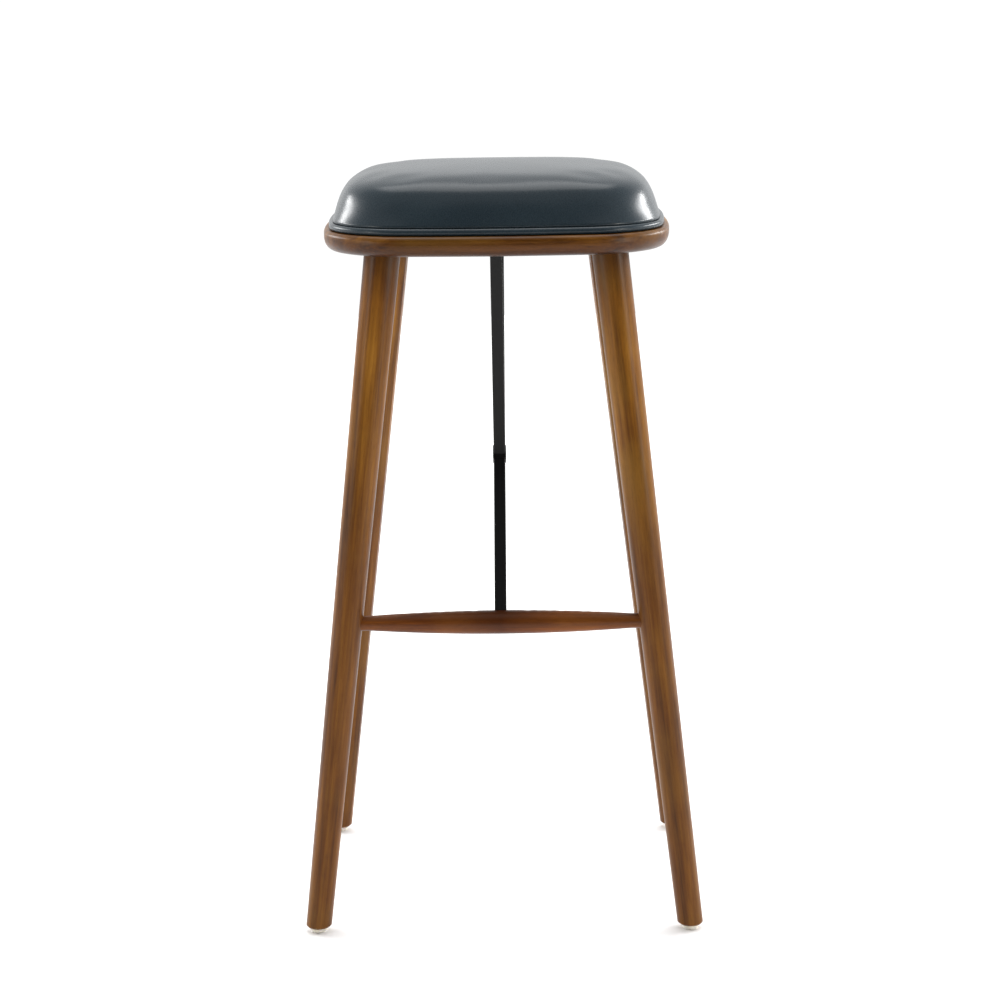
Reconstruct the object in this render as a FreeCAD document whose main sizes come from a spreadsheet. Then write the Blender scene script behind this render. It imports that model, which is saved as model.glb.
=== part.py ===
"""Bar stool: splayed turned legs, bullnosed seat base, leather cushion, spindle footrest and steel brace.

The stool stands on z = 0 with its centre on the z axis. The footrest side faces -Y, and X is the width.
Every size is a cell of the sheet "Sizes" (millimetres); the features are bound to those cells.
"""
import FreeCAD, Part
import math
import os
import re
import Sketcher
from FreeCAD import Placement, Rotation, Vector

doc = FreeCAD.newDocument("bar_stool")

# ---------------------------------------------------------------- driving dimensions

SIZES = (
    ("seat_width", 350, "seat base, left to right"),
    ("seat_depth", 350, "seat base, front to rear"),
    ("seat_side_radius", 800, "plan radius of the four bowed sides"),
    ("seat_corner_radius", 90, "plan radius of the four corners"),
    ("seat_underside", 690, "height of the seat base's underside"),
    ("seat_thickness", 20, "thickness of the seat base"),
    ("seat_top_round", 5, "rounding of the base's upper edge"),
    ("seat_bottom_round", 12, "bullnose rounding of the base's lower edge"),
    ("stance_width", 380, "leg axes at the foot, left to right"),
    ("stance_depth", 304, "leg axes at the foot, front to rear"),
    ("leg_head_width", 223, "leg axes at the seat base's underside, left to right"),
    ("leg_head_depth", 230, "leg axes at the seat base's underside, front to rear"),
    ("leg_head_diameter", 36, "leg diameter at the seat base"),
    ("leg_foot_diameter", 26, "leg diameter at the foot"),
    ("leg_foot_chamfer", 2, "chamfer round the sawn foot"),
    ("glide_height", 5, "nylon glide under each leg"),
    ("glide_diameter", 17, "outside of the glide"),
    ("glide_round", 1, "rounding of the glide's rim"),
    ("glide_recess_diameter", 8, "pocket for the nail's head"),
    ("glide_recess_depth", 2, "depth of that pocket"),
    ("nail_diameter", 2.6, "glide nail"),
    ("nail_head_diameter", 6, "glide nail's head"),
    ("nail_head_height", 1.2, "glide nail's head"),
    ("nail_reach", 20, "nail length inside the leg"),
    ("bolt_diameter", 8, "leg bolt"),
    ("bolt_head_diameter", 13, "leg bolt's cap head"),
    ("bolt_head_height", 7, "leg bolt's cap head"),
    ("bolt_socket_flats", 6, "hexagon socket across flats"),
    ("bolt_socket_depth", 4, "depth of the socket"),
    ("bolt_reach", 34, "bolt length inside the leg"),
    ("bolt_play", 0.5, "radial play of the bolt in the seat base"),
    ("washer_diameter", 17, "washer under the bolt's head"),
    ("washer_thickness", 1.6, "that washer"),
    ("counterbore_diameter", 19, "pocket for the washer and the head"),
    ("counterbore_depth", 11, "depth of that pocket in the seat base"),
    ("insert_diameter", 12.5, "threaded insert in the leg's head"),
    ("insert_length", 30, "threaded insert"),
    ("insert_sink", 1, "how far the insert sits below the leg's head"),
    ("leg_bore_depth", 40, "bore in the leg's head"),
    ("thread_play", 0.1, "radial gap between bolt and insert"),
    ("fit_gap", 0.1, "gap per side of a glued or pushed fit"),
    ("footrest_height", 320, "height of the footrest's axis"),
    ("footrest_middle_diameter", 24, "thickest part of the spindle"),
    ("footrest_end_diameter", 15, "its ends, which enter the legs"),
    ("footrest_end_length", 26, "straight stretch at each end"),
    ("footrest_tenon", 19, "how far each end enters its leg"),
    ("cushion_height", 60, "crown of the cushion above the seat base"),
    ("welt_ledge", 5, "wood left outside the welt"),
    ("welt_diameter", 7, "rolled leather welt"),
    ("welt_cord_diameter", 4.6, "cord inside the welt"),
    ("welt_lift", 0.2, "gap between welt and wood"),
    ("leather_thickness", 1.2, "cushion leather"),
    ("soft_gap", 0.3, "gap between a soft piece and its neighbour"),
    ("groove_height", 7.8, "foot of the cushion's side above the seat base"),
    ("cushion_setback", 4, "cushion's side behind the welt's outside"),
    ("cushion_lean", 13, "how far the side leans in up to the crown's height"),
    ("cushion_round", 27, "rounding between side and crown"),
    ("crown_radius", 1500, "radius of the domed top"),
    ("tuck_width", 25, "leather turned in under the board"),
    ("board_thickness", 9, "plywood board in the cushion"),
    ("staple_crown", 10, "staple width"),
    ("staple_wire", 0.9, "staple wire"),
    ("staple_reach", 7, "staple leg"),
    ("staple_pitch", 20, "distance between staples"),
    ("staple_inset", 9, "staples in from the board's edge"),
    ("screw_spacing", 120, "cushion screws, square pattern"),
    ("screw_diameter", 6, "cushion screw"),
    ("screw_head_diameter", 12, "its pan head"),
    ("screw_head_height", 4, "its pan head"),
    ("screw_slot_flats", 4, "its hexagon socket across flats"),
    ("screw_slot_depth", 2.4, "depth of that socket"),
    ("screw_washer_diameter", 15, "washer under the cushion screw"),
    ("screw_washer_thickness", 1.5, "that washer"),
    ("nut_barrel_diameter", 7.8, "tee nut's barrel"),
    ("nut_barrel_length", 7, "tee nut's barrel"),
    ("nut_flange_diameter", 19, "tee nut's flange"),
    ("nut_flange_thickness", 1.2, "tee nut's flange"),
    ("bar_size", 12, "square steel bar of the brace"),
    ("bar_round", 1.2, "its rolled corners"),
    ("bar_end_depth", 2, "bar's end past the footrest's axis"),
    ("brace_rear_place", 118, "rear plate behind the middle"),
    ("brace_front_place", 118, "front plate ahead of the middle"),
    ("brace_joint", 184, "joint of the two bars, up the long bar"),
    ("sleeve_wall", 0.8, "wall of the sleeve at the joint"),
    ("sleeve_length", 14, "length of that sleeve"),
    ("plate_length", 62, "brace's end plates, left to right"),
    ("plate_depth", 24, "brace's end plates, front to rear"),
    ("plate_thickness", 3, "brace's end plates"),
    ("plate_screw_spacing", 42, "two screws in each plate"),
    ("plate_screw_diameter", 4, "plate screw"),
    ("plate_screw_head_diameter", 8, "its low pan head"),
    ("plate_screw_head_height", 1.5, "its low pan head"),
    ("plate_screw_reach", 15, "its length inside the wood"),
    ("set_screw_diameter", 5, "screw that locks the bar in the footrest"),
    ("set_screw_length", 6.5, "that screw"),
    ("set_screw_offset", 3, "that screw above the footrest's axis, along the bar"),
    ("set_screw_flats", 2.5, "its hexagon socket across flats"),
    ("set_screw_socket_depth", 2.5, "depth of that socket"),
)

sheet = doc.addObject("Spreadsheet::Sheet", "Sizes")
for row, (alias, size, note) in enumerate(SIZES, start=1):
    sheet.set(f"A{row}", note)
    sheet.set(f"B{row}", str(size))
    sheet.setAlias(f"B{row}", alias)
doc.recompute()
NAMES = {alias for alias, size, note in SIZES}


def cells(formula):
    """Writes a formula of plain size names as an expression that reads the sheet."""
    return re.sub("[a-z_]+", lambda word: ("Sizes." if word[0] in NAMES else "") + word[0], formula)


def value(formula):
    """The number that a formula of size names comes to."""
    return float(sheet.evalExpression(cells(formula)))


def bind(item, **formulas):
    """Binds properties of an object to formulas of size names."""
    for name, formula in formulas.items():
        item.setExpression(name, cells(formula))


# ---------------------------------------------------------------- sketches, bodies and groups

REACH = 400          # longer than any piece is wide, for cutting planes and boxes


def plane(body, role):
    """The body's own origin plane or axis with this role."""
    return next(item for item in body.Origin.OriginFeatures if item.Role == role)


def new_sketch(body, name, role, lift=None):
    """A sketch on one of the body's origin planes, moved along its normal by a formula."""
    sketch = body.newObject("Sketcher::SketchObject", name)
    sketch.AttachmentSupport = [(plane(body, role), "")]
    sketch.MapMode = "FlatFace"
    if lift:
        sketch.setExpression("AttachmentOffset.Base.z", cells(lift))
    return sketch


def dimension(sketch, constraint, label, formula):
    """Adds a named size constraint and binds it to a formula."""
    index = sketch.addConstraint(constraint)
    sketch.renameConstraint(index, label)
    sketch.setExpression("Constraints." + label, cells(formula))


def pin_point(sketch, geometry, point, across, up, label):
    """Ties a point to the sketch's origin by two formulas; a formula "0" puts it on that axis."""
    for axis, kind, formula in ((-2, "DistanceX", across), (-1, "DistanceY", up)):
        if formula == "0":
            sketch.addConstraint(Sketcher.Constraint("PointOnObject", geometry, point, axis))
        else:
            held = Sketcher.Constraint(kind, -1, 1, geometry, point, value(formula))
            dimension(sketch, held, label + kind[-1].lower(), formula)


def polygon(sketch, corners, label="corner"):
    """A closed outline of straight lines whose corners are pairs of formulas."""
    places = [Vector(value(across), value(up), 0) for across, up in corners]
    first = sketch.GeometryCount
    for index, place in enumerate(places):
        sketch.addGeometry(Part.LineSegment(place, places[(index + 1) % len(places)]))
    for index, (across, up) in enumerate(corners):
        following = first + (index + 1) % len(corners)
        sketch.addConstraint(Sketcher.Constraint("Coincident", first + index, 2, following, 1))
        pin_point(sketch, first + index, 1, across, up, f"{label}_{index}_")


def circle(sketch, radius, label="circle"):
    """A circle about the sketch's origin whose radius is a formula."""
    index = sketch.addGeometry(Part.Circle(Vector(), Vector(0, 0, 1), value(radius)))
    sketch.addConstraint(Sketcher.Constraint("Coincident", index, 3, -1, 1))
    dimension(sketch, Sketcher.Constraint("Radius", index, value(radius)), label + "_radius", radius)


def hexagon(sketch, flats):
    """A hexagon about the sketch's origin, given across its flats."""
    corner = "(" + flats + ") / sqrt(3)"
    turns = [(math.cos(math.radians(60 * step)), math.sin(math.radians(60 * step))) for step in range(6)]
    polygon(sketch, [(f"{corner} * {a:.9f}", f"{corner} * {b:.9f}" if step % 3 else "0")
                     for step, (a, b) in enumerate(turns)])


def turned(name, corners):
    """A body turned about its own z axis from half an outline in the XZ plane."""
    body = doc.addObject("PartDesign::Body", name)
    sketch = new_sketch(body, name + "_profile", "XZ_Plane")
    polygon(sketch, corners)
    feature = body.newObject("PartDesign::Revolution", name + "_turned")
    feature.Profile = sketch
    feature.ReferenceAxis = (sketch, ["V_Axis"])
    feature.Angle = 360
    return body


def pocket(body, sketch, name, length, reverse=False, midplane=False):
    """Cuts the sketch out of the body, up to a length given as a formula."""
    feature = body.newObject("PartDesign::Pocket", name)
    feature.Profile = sketch
    feature.Reversed = reverse
    feature.Midplane = midplane
    bind(feature, Length=length)
    return feature


def socket(body, name, flats, top, depth):
    """A hexagon socket let down from the height top into a turned body."""
    sketch = new_sketch(body, name + "_socket", "XY_Plane", top)
    hexagon(sketch, flats)
    pocket(body, sketch, name + "_socket_cut", depth)


def box(name, corner, sizes):
    """A box from its lower corner and its three sizes, all given as formulas."""
    block = doc.addObject("Part::Box", name)
    bind(block, Length=sizes[0], Width=sizes[1], Height=sizes[2])
    for axis, formula in zip("xyz", corner):
        block.setExpression("Placement.Base." + axis, cells(formula))
    return block


def cut(name, base, *tools):
    """The base with one or more tools taken away."""
    tool = tools[0]
    if len(tools) > 1:
        tool = doc.addObject("Part::MultiFuse", name + "_tools")
        tool.Shapes = list(tools)
    result = doc.addObject("Part::Cut", name)
    result.Base = base
    result.Tool = tool
    return result


def mirrored(source, normal, name):
    """The piece mirrored in the plane through the z axis with this normal."""
    copy = doc.addObject("Part::Mirroring", name)
    copy.Source = source
    copy.Base = Vector(0, 0, 0)
    copy.Normal = normal
    return copy


ACROSS = Vector(1, 0, 0)
ALONG = Vector(0, 1, 0)


def four_ways(source, name):
    """A front right piece with its front left, rear right and rear left mirror images."""
    left = mirrored(source, ACROSS, name + "_front_left")
    rear = mirrored(source, ALONG, name + "_rear_right")
    rear_left = mirrored(left, ALONG, name + "_rear_left")
    return [source, left, rear, rear_left]


def group(name, members):
    """Like pieces kept together as separate solids of one node."""
    compound = doc.addObject("Part::Compound", name)
    compound.Links = list(members)
    return compound


nodes = {}

# ---------------------------------------------------------------- seat outline: eight tangent arcs


def corner_centre():
    """Centre of the corner arc in the +X +Y quarter: it touches both bowed sides from inside."""
    side = value("seat_side_radius")
    reach = side - value("seat_corner_radius")
    across = side - value("seat_width / 2")
    along = side - value("seat_depth / 2")
    spread = math.hypot(across, along)
    rise = math.sqrt(reach ** 2 - (spread / 2) ** 2)
    return Vector(-across / 2 + rise * along / spread, -along / 2 + rise * across / spread, 0)


def outline_arcs(inset):
    """The eight arcs of the seat's plan, moved inwards by a number, counter-clockwise from +X."""
    side = value("seat_side_radius")
    right = Vector(value("seat_width / 2") - side, 0, 0)
    rear = Vector(0, value("seat_depth / 2") - side, 0)
    corner = corner_centre()
    low = math.atan2(corner.y, corner.x - right.x)
    high = math.atan2(corner.y - rear.y, corner.x)
    quarter = (
        (right, side, -low, low),
        (corner, value("seat_corner_radius"), low, high),
        (rear, side, high, math.pi - high),
        (Vector(-corner.x, corner.y, 0), value("seat_corner_radius"), math.pi - high, math.pi - low),
    )
    arcs = []
    for turn in (0, math.pi):
        flip = 1 if turn == 0 else -1
        for centre, radius, start, end in quarter:
            ring = Part.Circle(centre * flip, Vector(0, 0, 1), radius - inset)
            arcs.append(Part.ArcOfCircle(ring, start + turn, end + turn))
    return arcs


def outline(sketch, inset, label="outline"):
    """Draws the seat's plan in a sketch, moved inwards by a formula."""
    first = sketch.GeometryCount
    for arc in outline_arcs(value(inset)):
        sketch.addGeometry(arc)
    for index in range(8):
        following = first + (index + 1) % 8
        sketch.addConstraint(Sketcher.Constraint("Tangent", first + index, 2, following, 1))
    for index in (2, 4, 6):
        sketch.addConstraint(Sketcher.Constraint("Equal", first, first + index))
        sketch.addConstraint(Sketcher.Constraint("Equal", first + 1, first + index + 1))
    for offset, kind in ((0, "side"), (1, "corner")):
        formula = f"seat_{kind}_radius - ({inset})"
        held = Sketcher.Constraint("Radius", first + offset, value(formula))
        dimension(sketch, held, f"{label}_{kind}", formula)
    sketch.addConstraint(Sketcher.Constraint("Symmetric", first, 3, first + 4, 3, -1, 1))
    sketch.addConstraint(Sketcher.Constraint("Symmetric", first + 2, 3, first + 6, 3, -1, 1))
    pin_point(sketch, first, 3, "seat_width / 2 - seat_side_radius", "0", label + "_right_")
    pin_point(sketch, first + 2, 3, "0", "seat_depth / 2 - seat_side_radius", label + "_rear_")


def prism(name, inset, bottom, height):
    """A straight-sided block of the seat's plan."""
    body = doc.addObject("PartDesign::Body", name)
    sketch = new_sketch(body, name + "_plan", "XY_Plane", bottom)
    outline(sketch, inset)
    pad = body.newObject("PartDesign::Pad", name + "_pad")
    pad.Profile = sketch
    bind(pad, Length=height)
    return body


# ---------------------------------------------------------------- leg frame

RISE = "(seat_underside - glide_height)"
SPLAY_X = "((stance_width - leg_head_width) / 2)"
SPLAY_Y = "((stance_depth - leg_head_depth) / 2)"
RUN = f"sqrt({SPLAY_X} ^ 2 + {SPLAY_Y} ^ 2)"
LEG_LENGTH = f"sqrt({SPLAY_X} ^ 2 + {SPLAY_Y} ^ 2 + {RISE} ^ 2)"
LEAN = f"({RUN} / {RISE})"


def leg_frame():
    """Front right leg: origin on its axis at the foot, z up the axis, x downhill towards the middle."""
    foot = Vector(value("stance_width / 2"), -value("stance_depth / 2"), value("glide_height"))
    head = Vector(value("leg_head_width / 2"), -value("leg_head_depth / 2"), value("seat_underside"))
    axis = (head - foot).normalize()
    level = Vector(0, 0, 1).cross(axis).normalize()
    return Placement(foot, Rotation(level.cross(axis), level, axis, "ZXY"))


# ---------------------------------------------------------------- legs


def leg_radius(along):
    """Leg radius at a distance up the axis, as a formula: an even taper from foot to head."""
    taper = f"(leg_head_diameter - leg_foot_diameter) / 2 / {LEG_LENGTH}"
    return f"leg_foot_diameter / 2 + {taper} * ({along})"


def make_leg():
    """One front right leg blank: turned taper, both ends sawn level, foot chamfered, head bored."""
    spare = "leg_head_diameter"
    top = f"{LEG_LENGTH} + {spare}"
    body = turned("leg_blank", (
        ("0", f"0 - {spare}"),
        (leg_radius(f"0 - {spare}"), f"0 - {spare}"),
        (leg_radius(top), top),
        ("0", top),
    ))
    for name, level, side in (("head", LEG_LENGTH, "+"), ("foot", "0", "-")):
        sketch = new_sketch(body, f"leg_{name}_saw", "XZ_Plane")
        far = f"{level} {side} 3 * {spare}"
        polygon(sketch, (
            (f"0 - {spare}", f"{level} - {spare} * {LEAN}"),
            (spare, f"{level} + {spare} * {LEAN}"),
            (spare, far),
            (f"0 - {spare}", far),
        ))
        pocket(body, sketch, f"leg_{name}_cut", f"4 * {spare}", midplane=True)
    bore = new_sketch(body, "leg_bore_circle", "XY_Plane", f"{LEG_LENGTH} - leg_bore_depth")
    circle(bore, "insert_diameter / 2")
    bored = pocket(body, bore, "leg_bore", "leg_bore_depth * 2", reverse=True)
    doc.recompute()
    rims = [(edge.CenterOfMass.z, index) for index, edge in enumerate(bored.Shape.Edges, start=1)]
    chamfer = body.newObject("PartDesign::Chamfer", "leg_foot_chamfer_cut")
    chamfer.Base = (bored, [f"Edge{min(rims)[1]}"])
    bind(chamfer, Size="leg_foot_chamfer")
    body.Placement = leg_frame()
    return body


def nail_bore():
    """Hole for the glide's nail, straight up from the foot of the front right leg."""
    bore = doc.addObject("Part::Cylinder", "nail_bore")
    bind(bore, Radius="nail_diameter / 2", Height="nail_reach + glide_height")
    for axis, formula in (("x", "stance_width / 2"), ("y", "0 - stance_depth / 2")):
        bore.setExpression("Placement.Base." + axis, cells(formula))
    return bore


FOOTREST_SHARE = f"((footrest_height - glide_height) / {RISE})"
FOOTREST_PLACE = f"(0 - stance_depth / 2 + {SPLAY_Y} * {FOOTREST_SHARE})"
LEG_AT_FOOTREST = f"(stance_width / 2 - {SPLAY_X} * {FOOTREST_SHARE})"
LEG_RADIUS_AT_FOOTREST = f"({leg_radius(f'{LEG_LENGTH} * {FOOTREST_SHARE}')})"
FOOTREST_HALF = f"({LEG_AT_FOOTREST} - {LEG_RADIUS_AT_FOOTREST} + footrest_tenon)"

leg = make_leg()
bored_leg = cut("leg_with_nail_bore", leg, nail_bore())
tenon_bore = doc.addObject("Part::Cylinder", "tenon_bore")
bind(tenon_bore, Radius="footrest_end_diameter / 2 + fit_gap", Height=f"{FOOTREST_HALF} + fit_gap")
tenon_bore.Placement = Placement(
    Vector(0, value(FOOTREST_PLACE), value("footrest_height")), Rotation(ALONG, 90))
nodes["leg_front_right"] = cut("leg_front_right", bored_leg, tenon_bore)
nodes["leg_front_left"] = mirrored(nodes["leg_front_right"], ACROSS, "leg_front_left")
nodes["leg_rear_right"] = mirrored(bored_leg, ALONG, "leg_rear_right")
nodes["leg_rear_left"] = mirrored(nodes["leg_rear_right"], ACROSS, "leg_rear_left")

# ---------------------------------------------------------------- glides and their nails


def at_foot(body):
    """Stands a turned body under the front right foot."""
    body.setExpression("Placement.Base.x", cells("stance_width / 2"))
    body.setExpression("Placement.Base.y", cells("0 - stance_depth / 2"))


glide = turned("glide_front_right", (
    ("nail_diameter / 2 + fit_gap", "glide_recess_depth"),
    ("glide_recess_diameter / 2", "glide_recess_depth"),
    ("glide_recess_diameter / 2", "0"),
    ("glide_diameter / 2 - glide_round", "0"),
    ("glide_diameter / 2", "glide_round"),
    ("glide_diameter / 2", "glide_height"),
    ("nail_diameter / 2 + fit_gap", "glide_height"),
))
at_foot(glide)
for name, piece in zip(("front_right", "front_left", "rear_right", "rear_left"), four_ways(glide, "glide")):
    nodes["glide_" + name] = piece

nail = turned("glide_nail", (
    ("0", "glide_recess_depth - nail_head_height"),
    ("nail_head_diameter / 2", "glide_recess_depth - nail_head_height"),
    ("nail_head_diameter / 2", "glide_recess_depth"),
    ("nail_diameter / 2", "glide_recess_depth"),
    ("nail_diameter / 2", "glide_height + nail_reach - nail_diameter"),
    ("0", "glide_height + nail_reach"),
))
at_foot(nail)
nodes["glide_nails"] = group("glide_nails", four_ways(nail, "glide_nail"))

# ---------------------------------------------------------------- leg bolts, washers and inserts

WASHER_FLOOR = f"({LEG_LENGTH} + seat_thickness - counterbore_depth)"
HEAD_FLOOR = f"({WASHER_FLOOR} + washer_thickness)"
HEAD_TOP = f"({HEAD_FLOOR} + bolt_head_height)"
BOLT_END = f"({LEG_LENGTH} - bolt_reach)"
INSERT_TOP = f"({LEG_LENGTH} - insert_sink)"

bolt = turned("leg_bolt", (
    ("0", BOLT_END),
    ("bolt_diameter / 2", BOLT_END),
    ("bolt_diameter / 2", HEAD_FLOOR),
    ("bolt_head_diameter / 2", HEAD_FLOOR),
    ("bolt_head_diameter / 2", HEAD_TOP),
    ("0", HEAD_TOP),
))
socket(bolt, "leg_bolt", "bolt_socket_flats", HEAD_TOP, "bolt_socket_depth")
washer = turned("leg_bolt_washer", (
    ("bolt_diameter / 2 + fit_gap", WASHER_FLOOR),
    ("washer_diameter / 2", WASHER_FLOOR),
    ("washer_diameter / 2", HEAD_FLOOR),
    ("bolt_diameter / 2 + fit_gap", HEAD_FLOOR),
))
insert = turned("leg_insert", (
    ("bolt_diameter / 2 + thread_play", f"{INSERT_TOP} - insert_length"),
    ("insert_diameter / 2", f"{INSERT_TOP} - insert_length"),
    ("insert_diameter / 2", INSERT_TOP),
    ("bolt_diameter / 2 + thread_play", INSERT_TOP),
))
bolt_bore = turned("leg_bolt_bore", (
    ("0", f"{LEG_LENGTH} - seat_thickness"),
    ("bolt_diameter / 2 + bolt_play", f"{LEG_LENGTH} - seat_thickness"),
    ("bolt_diameter / 2 + bolt_play", WASHER_FLOOR),
    ("counterbore_diameter / 2", WASHER_FLOOR),
    ("counterbore_diameter / 2", f"{WASHER_FLOOR} + seat_thickness"),
    ("0", f"{WASHER_FLOOR} + seat_thickness"),
))
for body in (bolt, washer, insert, bolt_bore):
    body.Placement = leg_frame()
nodes["leg_bolts"] = group("leg_bolts", four_ways(bolt, "leg_bolt"))
nodes["leg_bolt_washers"] = group("leg_bolt_washers", four_ways(washer, "leg_bolt_washer"))
nodes["leg_inserts"] = group("leg_inserts", four_ways(insert, "leg_insert"))

# ---------------------------------------------------------------- cushion screws and tee nuts

SEAT_TOP = "(seat_underside + seat_thickness)"
BOARD_FLOOR = f"({SEAT_TOP} + leather_thickness)"
BOARD_TOP = f"({BOARD_FLOOR} + board_thickness)"
SCREW_WASHER_FLOOR = "(seat_underside - screw_washer_thickness)"
NUT_TOP = f"({BOARD_TOP} - nut_flange_thickness)"


def at_screw(body):
    """Stands a turned body at the front right cushion screw."""
    body.setExpression("Placement.Base.x", cells("screw_spacing / 2"))
    body.setExpression("Placement.Base.y", cells("0 - screw_spacing / 2"))
    return body


screw = at_screw(turned("cushion_screw", (
    ("0", f"{SCREW_WASHER_FLOOR} - screw_head_height"),
    ("screw_head_diameter / 2 - screw_head_height / 4", f"{SCREW_WASHER_FLOOR} - screw_head_height"),
    ("screw_head_diameter / 2", f"{SCREW_WASHER_FLOOR} - screw_head_height / 2"),
    ("screw_head_diameter / 2", SCREW_WASHER_FLOOR),
    ("screw_diameter / 2", SCREW_WASHER_FLOOR),
    ("screw_diameter / 2", f"{BOARD_TOP} - nut_flange_thickness"),
    ("0", f"{BOARD_TOP} - nut_flange_thickness"),
)))
drive = new_sketch(screw, "cushion_screw_socket", "XY_Plane", f"{SCREW_WASHER_FLOOR} - screw_head_height")
hexagon(drive, "screw_slot_flats")
pocket(screw, drive, "cushion_screw_socket_cut", "screw_slot_depth", reverse=True)
screw_washer = at_screw(turned("cushion_screw_washer", (
    ("screw_diameter / 2 + fit_gap", SCREW_WASHER_FLOOR),
    ("screw_washer_diameter / 2", SCREW_WASHER_FLOOR),
    ("screw_washer_diameter / 2", "seat_underside"),
    ("screw_diameter / 2 + fit_gap", "seat_underside"),
)))
tee_nut = at_screw(turned("tee_nut", (
    ("screw_diameter / 2 + thread_play", f"{NUT_TOP} - nut_barrel_length"),
    ("nut_barrel_diameter / 2", f"{NUT_TOP} - nut_barrel_length"),
    ("nut_barrel_diameter / 2", NUT_TOP),
    ("nut_flange_diameter / 2", NUT_TOP),
    ("nut_flange_diameter / 2", BOARD_TOP),
    ("screw_diameter / 2 + thread_play", BOARD_TOP),
)))
nut_bore = at_screw(turned("tee_nut_bore", (
    ("0", f"{BOARD_FLOOR} - board_thickness"),
    ("nut_barrel_diameter / 2", f"{BOARD_FLOOR} - board_thickness"),
    ("nut_barrel_diameter / 2", NUT_TOP),
    ("nut_flange_diameter / 2", NUT_TOP),
    ("nut_flange_diameter / 2", f"{BOARD_TOP} + board_thickness"),
    ("0", f"{BOARD_TOP} + board_thickness"),
)))
screw_bore = at_screw(turned("cushion_screw_bore", (
    ("0", "seat_underside - seat_thickness"),
    ("screw_diameter / 2 + bolt_play", "seat_underside - seat_thickness"),
    ("screw_diameter / 2 + bolt_play", f"{SEAT_TOP} + seat_thickness"),
    ("0", f"{SEAT_TOP} + seat_thickness"),
)))
nodes["cushion_screws"] = group("cushion_screws", four_ways(screw, "cushion_screw"))
nodes["cushion_screw_washers"] = group(
    "cushion_screw_washers", four_ways(screw_washer, "cushion_screw_washer"))
nodes["tee_nuts"] = group("tee_nuts", four_ways(tee_nut, "tee_nut"))

# ---------------------------------------------------------------- brace: plates and their screws

PLATE_FLOOR = "(seat_underside - plate_thickness)"


def plate_screw_at(name, across, place, corners):
    """A turned body under one of the brace's plates."""
    body = turned(name, corners)
    body.setExpression("Placement.Base.x", cells(across))
    body.setExpression("Placement.Base.y", cells(place))
    return body


plate_screws = []
plate_screw_bores = []
for end, place, sign in (("front", "brace_front_place", "0 -"), ("rear", "brace_rear_place", "0 +")):
    plate = box(f"brace_{end}_plate_blank", (
        "0 - plate_length / 2", f"{sign} {place} - plate_depth / 2", PLATE_FLOOR,
    ), ("plate_length", "plate_depth", "plate_thickness"))
    holes = []
    for hand, half in (("left", "0 - plate_screw_spacing / 2"), ("right", "plate_screw_spacing / 2")):
        label = f"plate_screw_{end}_{hand}"
        plate_screws.append(plate_screw_at(label, half, f"{sign} {place}", (
            ("0", f"{PLATE_FLOOR} - plate_screw_head_height"),
            ("plate_screw_head_diameter / 3", f"{PLATE_FLOOR} - plate_screw_head_height"),
            ("plate_screw_head_diameter / 2", f"{PLATE_FLOOR} - plate_screw_head_height / 2"),
            ("plate_screw_head_diameter / 2", PLATE_FLOOR),
            ("plate_screw_diameter / 2", PLATE_FLOOR),
            ("plate_screw_diameter / 2", "seat_underside + plate_screw_reach - plate_screw_diameter"),
            ("0", "seat_underside + plate_screw_reach"),
        )))
        plate_screw_bores.append(plate_screw_at(label + "_bore", half, f"{sign} {place}", (
            ("0", f"{PLATE_FLOOR} - plate_thickness"),
            ("plate_screw_diameter / 2", f"{PLATE_FLOOR} - plate_thickness"),
            ("plate_screw_diameter / 2", "seat_underside + plate_screw_reach - plate_screw_diameter"),
            ("0", "seat_underside + plate_screw_reach"),
        )))
        holes.append(plate_screw_bores[-1])
    nodes[f"brace_{end}_plate"] = cut(f"brace_{end}_plate", plate, *holes)
nodes["brace_plate_screws"] = group("brace_plate_screws", plate_screws)

# ---------------------------------------------------------------- brace: bars and sleeve

BAR_RISE = f"({PLATE_FLOOR} - footrest_height)"
BAR_RUN = f"(brace_rear_place - {FOOTREST_PLACE})"
BAR_LENGTH = f"sqrt({BAR_RISE} ^ 2 + {BAR_RUN} ^ 2)"
JOINT_PLACE = f"({FOOTREST_PLACE} + {BAR_RUN} * brace_joint / {BAR_LENGTH})"
JOINT_HEIGHT = f"(footrest_height + {BAR_RISE} * brace_joint / {BAR_LENGTH})"
ARM_RISE = f"({PLATE_FLOOR} - {JOINT_HEIGHT})"
ARM_RUN = f"(0 - brace_front_place - {JOINT_PLACE})"
ARM_LENGTH = f"sqrt({ARM_RISE} ^ 2 + {ARM_RUN} ^ 2)"


def bar_frame(place, height, run, rise):
    """Frame of a bar in the middle plane: z runs up the bar, x stays level."""
    start = Vector(0, value(place), value(height))
    lean = math.degrees(math.atan2(value(run), value(rise)))
    return Placement(start, Rotation(ACROSS, -lean))


def square(sketch, size, label="square"):
    """A square about the sketch's origin."""
    half = f"({size}) / 2"
    polygon(sketch, (
        (f"0 - {half}", f"0 - {half}"), (half, f"0 - {half}"),
        (half, half), (f"0 - {half}", half),
    ), label)


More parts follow.
